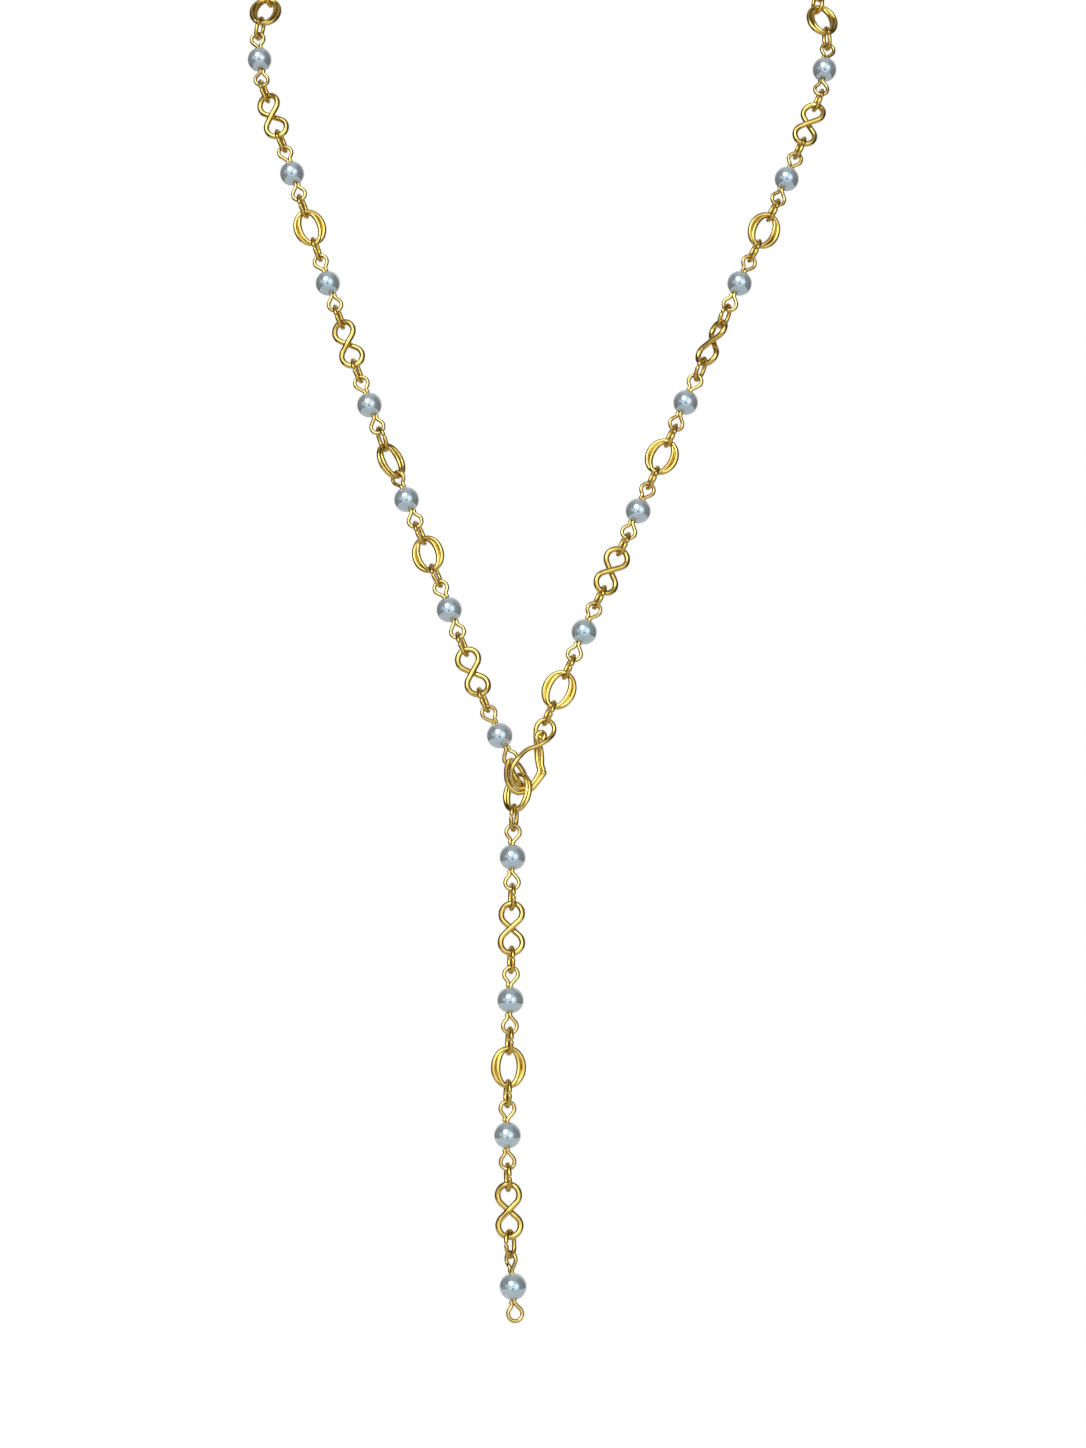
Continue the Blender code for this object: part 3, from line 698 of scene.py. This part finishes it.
def add_bead(mesh, settings):
    """A round pearl about its own hole, with the hole's rims rounded over."""
    radius = settings.pearl.diameter / 2
    hole = settings.pin.wire / 2 + settings.pearl.hole_play
    start = math.asin((hole + HOLE_RIM) / radius)
    mouth = math.sqrt(radius ** 2 - (hole + HOLE_RIM) ** 2)
    upper_rim = [(hole + wider * HOLE_RIM, mouth - below * HOLE_RIM) for wider, below in HOLE_RIM_PROFILE]
    profile = list(upper_rim)
    for row in range(BEAD_ROWS + 1):
        angle = start + (math.pi - 2 * start) * row / BEAD_ROWS
        profile.append((radius * math.sin(angle), radius * math.cos(angle)))
    profile += [(wide, -lift) for wide, lift in reversed(upper_rim)]
    rings = []
    for wide, lift in profile:
        rings.append([mesh.verts.new((wide * math.cos(math.tau * side / BEAD_SIDES),
                                      wide * math.sin(math.tau * side / BEAD_SIDES), lift))
                      for side in range(BEAD_SIDES)])
    for index in range(len(rings)):
        upper, lower = rings[index], rings[(index + 1) % len(rings)]
        for side in range(BEAD_SIDES):
            other = (side + 1) % BEAD_SIDES
            mesh.faces.new((upper[side], lower[side], lower[other], upper[other]))


def add_hook_wires(mesh, settings):
    """The hook: the loop that is its eye and body, the strand beside it, and its two knobs."""
    clasp = settings.clasp
    wire = clasp.hook_wire
    layout = laid_out(settings)
    top = layout.hook_top
    along, across, face = turned_frame(top, layout.hook_foot + Vector((0.0, -clasp.hook_ahead, 0.0)), 0)
    neck = clasp.eye_length - wire

    def place(bend):
        sideways = bend.across * clasp.hook_width
        lengthwise = neck + bend.along * (clasp.hook_reach - neck)
        return top + across * sideways + along * lengthwise + face * (bend.front * wire)

    # The closed loop is smoothed with its own ends repeated beyond it, which are then cut off again
    loop = [place(bend) for bend in HOOK_LOOP]
    around = smooth_route(loop[-2:] + loop + loop[:2], HOOK_STEPS)
    add_wire(mesh, around[2 * HOOK_STEPS:(2 + len(loop)) * HOOK_STEPS], wire / 2, closed=True)
    add_wire(mesh, smooth_route([place(bend) for bend in HOOK_STRAND], HOOK_STEPS), wire / 2)
    for knob in (HOOK_WRAP_MIDDLE, HOOK_STRAND[HOOK_KNOB_ROW]):
        add_knob(mesh, place(knob), clasp.knob)


def filled_mesh(name, build, material):
    """Mesh data that the build function fills: smooth all over and of one material."""
    mesh = bmesh.new()
    build(mesh)
    bmesh.ops.recalc_face_normals(mesh, faces=mesh.faces)
    for face in mesh.faces:
        face.smooth = True
    data = bpy.data.meshes.new(name)
    mesh.to_mesh(data)
    mesh.free()
    data.materials.append(material)
    return data


def new_object(name, data):
    """An object of the data, in the scene."""
    made = bpy.data.objects.new(name, data)
    bpy.context.scene.collection.objects.link(made)
    return made


def join_to_frame(made, node):
    """Lets an object ride with the necklace in place of its CAD node."""
    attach(made, "root")
    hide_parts(node)


def add_to_chains(settings, kind, name, build, material):
    """One object for each node, of all its pieces of one kind."""
    layout = laid_out(settings)
    chains = {}
    for piece in layout.loop + layout.tail:
        if piece.kind == kind:
            chains.setdefault(piece.node, []).append(piece)
    for node, pieces in chains.items():
        def fill(mesh):
            for piece in pieces:
                build(mesh, settings, piece)
        label = f"{node}_{name}"
        join_to_frame(new_object(label, filled_mesh(label, fill, material)), node)


def new_node(tree, kind, inputs=None, **options):
    """A node with its options, such as an operation, and with inputs linked or set, by name or number."""
    node = tree.nodes.new(kind)
    for name, value in options.items():
        setattr(node, name, value)
    for name, source in (inputs or {}).items():
        if isinstance(source, bpy.types.NodeSocket):
            tree.links.new(source, node.inputs[name])
        else:
            node.inputs[name].default_value = source
    return node


def new_noise(tree, place, scale, detail, roughness=0.5):
    """A cloudy grey in the given space."""
    inputs = {"Vector": place, "Scale": scale, "Detail": detail, "Roughness": roughness}
    return new_node(tree, "ShaderNodeTexNoise", inputs).outputs["Fac"]


def new_range(tree, grey, start, end, low=0.0, high=1.0, **options):
    """A grey mapped from the range between start and end to the one between low and high."""
    inputs = {"Value": grey, "From Min": start, "From Max": end, "To Min": low, "To Max": high}
    return new_node(tree, "ShaderNodeMapRange", inputs, **options).outputs["Result"]


def new_math(tree, operation, *values):
    """One grey worked out from greys and numbers."""
    return new_node(tree, "ShaderNodeMath", dict(enumerate(values)), operation=operation).outputs["Value"]


def new_mix(tree, share, first, second):
    """A blend of two colours."""
    inputs = {"Factor": share, "A": first, "B": second}
    return new_node(tree, "ShaderNodeMix", inputs, data_type="RGBA").outputs["Result"]


def group_socket(group, name, in_out, kind, default=None):
    """A named input or output of a node group."""
    socket = group.interface.new_socket(name=name, in_out=in_out, socket_type=kind)
    if default is not None:
        socket.default_value = default


def plating_group():
    """Node group: the slow tint, polish marks and fine waves of a plated wire, in the object's own space."""
    group = bpy.data.node_groups.get("Plating")
    if group:
        return group
    group = bpy.data.node_groups.new("Plating", "ShaderNodeTree")
    group_socket(group, "Colour", "INPUT", "NodeSocketColor", (0.8, 0.5, 0.12, 1.0))
    group_socket(group, "Deep colour", "INPUT", "NodeSocketColor", (0.6, 0.3, 0.05, 1.0))
    group_socket(group, "Polish", "INPUT", "NodeSocketFloat", 0.12)
    group_socket(group, "Wear", "INPUT", "NodeSocketFloat", 0.5)
    group_socket(group, "Colour", "OUTPUT", "NodeSocketColor")
    group_socket(group, "Roughness", "OUTPUT", "NodeSocketFloat")
    group_socket(group, "Height", "OUTPUT", "NodeSocketFloat")
    given = new_node(group, "NodeGroupInput").outputs
    place = new_node(group, "ShaderNodeTexCoord").outputs["Object"]
    clouds = new_noise(group, place, scale=220.0, detail=2.0)
    tint = new_math(group, "MULTIPLY", new_range(group, clouds, start=0.38, end=0.68), given["Wear"])
    marks = new_noise(group, place, scale=1400.0, detail=4.0, roughness=0.6)
    dulled = new_range(group, marks, start=0.35, end=0.75, low=0.7, high=1.5)
    new_node(group, "NodeGroupOutput", {
        "Colour": new_mix(group, tint, given["Colour"], given["Deep colour"]),
        "Roughness": new_math(group, "MULTIPLY", dulled, given["Polish"]),
        "Height": new_noise(group, place, scale=520.0, detail=1.0),
    })
    return group


def deeper(colour, share):
    """The colour's deeper, redder neighbour."""
    return tuple(value * (1 - share * fall) for value, fall in zip(colour, DEEPER_TINT))


def gold_material(name, colour, deepening, polish, wear):
    """Polished gold-coloured plating, clouded by its deeper tint."""
    made = bpy.data.materials.get(name)
    if made:
        return made
    made = bpy.data.materials.new(name)
    made.use_nodes = True
    tree = made.node_tree
    shader = tree.nodes["Principled BSDF"]
    shader.inputs["Metallic"].default_value = 1.0
    shader.inputs["Coat Weight"].default_value = 0.85
    shader.inputs["Coat Roughness"].default_value = 0.14
    shader.inputs["Coat IOR"].default_value = 1.7
    plating = new_node(tree, "ShaderNodeGroup", {
        "Colour": (*colour, 1.0),
        "Deep colour": (*deeper(colour, deepening), 1.0),
        "Polish": polish,
        "Wear": wear,
    }, node_tree=plating_group()).outputs
    bumps = {"Strength": 0.18, "Distance": 0.06 * MM, "Height": plating["Height"]}
    normal = new_node(tree, "ShaderNodeBump", bumps).outputs["Normal"]
    tree.links.new(plating["Colour"], shader.inputs["Base Color"])
    tree.links.new(plating["Roughness"], shader.inputs["Roughness"])
    tree.links.new(normal, shader.inputs["Normal"])
    return made


def pin_gold(settings):
    """The pale gold of the pins."""
    return gold_material("pale pin gold", settings.pin.colour, deepening=0.15, polish=0.13, wear=0.5)


def ring_gold(settings):
    """The warm gold of the jump rings."""
    return gold_material("warm ring gold", settings.jump.colour, deepening=0.2, polish=0.14, wear=0.6)


def link_gold(settings):
    """The gold of the links and the clasp."""
    return gold_material("link gold", settings.link.colour, deepening=0.18, polish=0.10, wear=0.6)


def pearl_material(settings):
    """Blue-grey nacre: a cloudy body with a painted sheen that pales it where it is seen edge-on, under a
    clear and very smooth skin.
    """
    made = bpy.data.materials.get("blue grey nacre")
    if made:
        return made
    made = bpy.data.materials.new("blue grey nacre")
    made.use_nodes = True
    tree = made.node_tree
    shader = tree.nodes["Principled BSDF"]
    shader.inputs["Metallic"].default_value = 0.58
    shader.inputs["Coat Weight"].default_value = 0.9
    shader.inputs["Coat Roughness"].default_value = 0.06
    shader.inputs["Coat IOR"].default_value = 1.55
    place = new_node(tree, "ShaderNodeTexCoord").outputs["Object"]
    position = new_node(tree, "ShaderNodeNewGeometry").outputs["Position"]
    cloud = new_noise(tree, place, scale=380.0, detail=3.0)
    # A slow noise over the whole necklace makes the pearls differ from each other
    differing = new_noise(tree, position, scale=34.0, detail=0.0)
    clouds = new_range(tree, new_math(tree, "ADD", cloud, differing), start=0.75, end=1.25)
    body = new_mix(tree, clouds, (*settings.pearl.body, 1.0), (*settings.pearl.cloud, 1.0))
    # Painted sheen: the body is mixed towards the paler rim colour where its surface is seen edge-on
    edge = new_node(tree, "ShaderNodeLayerWeight", {"Blend": 0.35}).outputs["Facing"]
    skin = new_mix(tree, edge, body, (*settings.pearl.painted_rim_sheen, 1.0))
    gloss = new_range(tree, cloud, start=0.0, end=1.0, low=0.11, high=0.16)
    tree.links.new(skin, shader.inputs["Base Color"])
    tree.links.new(gloss, shader.inputs["Roughness"])
    return made


class NECKLACE_OT_add_pearls(Operator):
    """Add the round pearls, each on its place along the string"""

    bl_idname = "necklace.add_pearls"
    bl_label = "Add Pearls"
    bl_options = {"REGISTER", "UNDO"}

    def execute(self, context):
        settings = context.scene.necklace
        layout = laid_out(settings)
        data = filled_mesh("bead", lambda mesh: add_bead(mesh, settings), pearl_material(settings))
        for pieces, node, name in ((layout.loop, "pearl_{:02d}", "bead_{:02d}"),
                                   (layout.tail, "tail_pearl_{}", "tail_bead_{}")):
            pins = [piece for piece in pieces if piece.kind == "pin"]
            for number, piece in enumerate(pins, start=1):
                along, across, face = turned_frame(piece.start, piece.end, PEARL_TURN_STEP * number)
                made = new_object(name.format(number), data)
                turned = Matrix((across, face, along)).transposed().to_4x4()
                made.matrix_world = Matrix.Translation(piece_place(piece)[0]) @ turned
                join_to_frame(made, node.format(number))
        return {"FINISHED"}


class NECKLACE_OT_add_pins(Operator):
    """Add the wire pins through the pearls, with an eye at both ends"""

    bl_idname = "necklace.add_pins"
    bl_label = "Add Eye Pins"
    bl_options = {"REGISTER", "UNDO"}

    def execute(self, context):
        settings = context.scene.necklace
        add_to_chains(settings, "pin", "pins", add_pin, pin_gold(settings))
        return {"FINISHED"}


class NECKLACE_OT_add_jump_rings(Operator):
    """Add the small oval rings between the eyes and the links"""

    bl_idname = "necklace.add_jump_rings"
    bl_label = "Add Jump Rings"
    bl_options = {"REGISTER", "UNDO"}

    def execute(self, context):
        settings = context.scene.necklace
        add_to_chains(settings, "jump", "jump_rings", add_jump_ring, ring_gold(settings))
        return {"FINISHED"}


class NECKLACE_OT_add_figure_eights(Operator):
    """Add the figure-eight links"""

    bl_idname = "necklace.add_figure_eights"
    bl_label = "Add Figure-Eights"
    bl_options = {"REGISTER", "UNDO"}

    def execute(self, context):
        settings = context.scene.necklace
        add_to_chains(settings, "eight", "figure_eights", add_eight, link_gold(settings))
        return {"FINISHED"}


class NECKLACE_OT_add_double_ovals(Operator):
    """Add the double oval links"""

    bl_idname = "necklace.add_double_ovals"
    bl_label = "Add Double Ovals"
    bl_options = {"REGISTER", "UNDO"}

    def execute(self, context):
        settings = context.scene.necklace
        add_to_chains(settings, "oval", "double_ovals", add_oval_link, link_gold(settings))
        return {"FINISHED"}


class NECKLACE_OT_add_clasp(Operator):
    """Add the hook, the clasp ring and the tail ring"""

    bl_idname = "necklace.add_clasp"
    bl_label = "Add Clasp"
    bl_options = {"REGISTER", "UNDO"}

    def execute(self, context):
        settings = context.scene.necklace
        gold = link_gold(settings)
        for ring in ("clasp ring", "tail ring"):
            add_to_chains(settings, ring, "wire", add_end_ring, gold)
        hook = filled_mesh("hook_wires", lambda mesh: add_hook_wires(mesh, settings), gold)
        join_to_frame(new_object("hook_wires", hook), "hook_clasp")
        return {"FINISHED"}


class NECKLACE_OT_set_stage(Operator):
    """Set up the pale floor, the soft studio light and the camera"""

    bl_idname = "necklace.set_stage"
    bl_label = "Set Stage"
    bl_options = {"REGISTER", "UNDO"}

    def execute(self, context):
        stage = context.scene.necklace.stage
        add_floor(stage.backdrop)
        light_world(stage)
        camera = bpy.data.cameras.new("camera")
        camera.lens = CAMERA_LENS
        camera.sensor_fit = "VERTICAL"
        camera.sensor_height = CAMERA_SENSOR
        camera.clip_start = CAMERA_NEAR
        camera.clip_end = CAMERA_FAR
        made = new_object("camera", camera)
        made.location = CAMERA_AT
        made.rotation_euler = (math.pi / 2, 0.0, 0.0)
        context.scene.camera = made
        context.scene.view_settings.view_transform = "Standard"
        return {"FINISHED"}


def add_floor(brightness):
    """A plain pale floor below the hanging tail."""
    mesh = bmesh.new()
    bmesh.ops.create_grid(mesh, x_segments=1, y_segments=1, size=FLOOR_HALF)
    bmesh.ops.translate(mesh, vec=(0.0, 0.0, FLOOR_LEVEL), verts=mesh.verts)
    data = bpy.data.meshes.new("floor")
    mesh.to_mesh(data)
    mesh.free()
    floor = new_object("floor", data)
    paper = bpy.data.materials.new("white paper")
    paper.use_nodes = True
    tree = paper.node_tree
    shader = tree.nodes["Principled BSDF"]
    shader.inputs["Base Color"].default_value = (FLOOR_GREY, FLOOR_GREY, FLOOR_GREY, 1.0)
    shader.inputs["Roughness"].default_value = 0.9
    glow = new_node(tree, "ShaderNodeEmission", {"Strength": brightness})
    show_otherwise(tree, shader.outputs["BSDF"], glow.outputs["Emission"], "Material Output")
    data.materials.append(paper)


def show_otherwise(tree, lighting, seen, output):
    """Lights the scene with one shader, and shows the camera another."""
    direct = new_node(tree, "ShaderNodeLightPath").outputs["Is Camera Ray"]
    mix = new_node(tree, "ShaderNodeMixShader", {"Fac": direct, 1: lighting, 2: seen})
    tree.links.new(mix.outputs["Shader"], tree.nodes[output].inputs["Surface"])


def patch_of_light(tree, patch):
    """1 inside a round patch of the sky, 0 outside it, with a soft edge."""
    place = new_node(tree, "ShaderNodeTexCoord").outputs["Generated"]
    near = new_node(tree, "ShaderNodeVectorMath", {0: place, 1: Vector(patch.direction).normalized()},
                    operation="DOT_PRODUCT").outputs["Value"]
    outer = math.cos(math.radians(patch.outer))
    inner = math.cos(math.radians(patch.inner))
    return new_range(tree, near, outer, inner, interpolation_type="SMOOTHSTEP")


def light_world(stage):
    """A white background for the eye, and for the light a dim tent with soft patches of light in it."""
    world = bpy.data.worlds.new("white studio")
    bpy.context.scene.world = world
    world.use_nodes = True
    tree = world.node_tree
    total = 0.0
    for patch in TENT_PATCHES:
        total = new_math(tree, "MULTIPLY_ADD", patch_of_light(tree, patch), patch.strength, total)
    lit = tree.nodes["Background"]
    lit.inputs["Strength"].default_value = stage.tent
    tree.links.new(new_math(tree, "MAXIMUM", total, 0.0), lit.inputs["Color"])
    shade = new_node(tree, "ShaderNodeBackground", {"Color": (*TENT_SHADE, 1.0), "Strength": stage.tent})
    lights = {0: lit.outputs["Background"], 1: shade.outputs["Background"]}
    tent = new_node(tree, "ShaderNodeAddShader", lights)
    white = {"Color": (1.0, 1.0, 1.0, 1.0), "Strength": stage.backdrop}
    backdrop = new_node(tree, "ShaderNodeBackground", white)
    show_otherwise(tree, tent.outputs["Shader"], backdrop.outputs["Background"], "World Output")
    world.cycles.sampling_method = "MANUAL"
    world.cycles.sample_map_resolution = TENT_MAP_SIZE


class NECKLACE_PT_panel(Panel):
    """Lists the necklace's settings and the operators that make its pieces."""

    bl_label = "Necklace"
    bl_idname = "NECKLACE_PT_panel"
    bl_space_type = "VIEW_3D"
    bl_region_type = "UI"
    bl_category = "Necklace"

    def draw(self, context):
        settings = context.scene.necklace
        for group in ("pearl", "pin", "jump", "link", "clasp", "stage"):
            part = getattr(settings, group)
            box = self.layout.box()
            box.label(text=settings.bl_rna.properties[group].name)
            for name in part.__annotations__:
                box.prop(part, name)
        for operator in OPERATORS:
            self.layout.operator(operator.bl_idname)


OPERATORS = (
    NECKLACE_OT_add_pearls,
    NECKLACE_OT_add_pins,
    NECKLACE_OT_add_jump_rings,
    NECKLACE_OT_add_figure_eights,
    NECKLACE_OT_add_double_ovals,
    NECKLACE_OT_add_clasp,
    NECKLACE_OT_set_stage,
)
CLASSES = (
    PearlSettings,
    PinSettings,
    JumpRingSettings,
    LinkSettings,
    ClaspSettings,
    StageSettings,
    NecklaceSettings,
    *OPERATORS,
    NECKLACE_PT_panel,
)


def register():
    for item in CLASSES:
        bpy.utils.register_class(item)
    bpy.types.Scene.necklace = PointerProperty(type=NecklaceSettings)


def unregister():
    del bpy.types.Scene.necklace
    for item in reversed(CLASSES):
        bpy.utils.unregister_class(item)


def main():
    """Makes the necklace and its stage."""
    register()
    bpy.ops.necklace.add_pearls()
    bpy.ops.necklace.add_pins()
    bpy.ops.necklace.add_jump_rings()
    bpy.ops.necklace.add_figure_eights()
    bpy.ops.necklace.add_double_ovals()
    bpy.ops.necklace.add_clasp()
    bpy.ops.necklace.set_stage()


if __name__ == "__main__":
    main()
